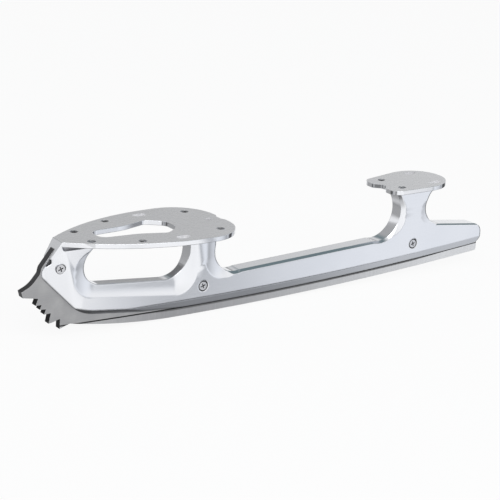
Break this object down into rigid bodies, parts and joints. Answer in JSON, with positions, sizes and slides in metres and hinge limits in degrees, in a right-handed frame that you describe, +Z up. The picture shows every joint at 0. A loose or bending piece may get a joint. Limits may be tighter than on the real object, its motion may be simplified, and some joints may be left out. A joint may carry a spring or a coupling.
{
  "type": "figure skate blade",
  "caption": "Figure skate blade: one-piece alloy chassis with sole and heel plates, and a clamped hollow-ground steel runner with toe picks.",
  "frame": {"origin": "on the ice plane under the middle of the blade's overall length, in the blade's mid plane", "axes": "+X to the toe, +Y to the skater's left, +Z up from the ice"},
  "size_m": [0.3032, 0.058, 0.058],
  "materials": {
    "alloy": "polished and clear anodised side faces, satin plate tops",
    "runner_steel": "brushed stainless steel with a brighter ground strip along the bottom",
    "screw_steel": "polished stainless steel"
  },
  "bodies": {
    "root": {"chassis": "alloy", "runner": "runner_steel", "toe_screw": "screw_steel", "middle_screw": "screw_steel", "heel_screw": "screw_steel", "toe_nut": "screw_steel", "middle_nut": "screw_steel", "heel_nut": "screw_steel"}
  },
  "joints": []
}
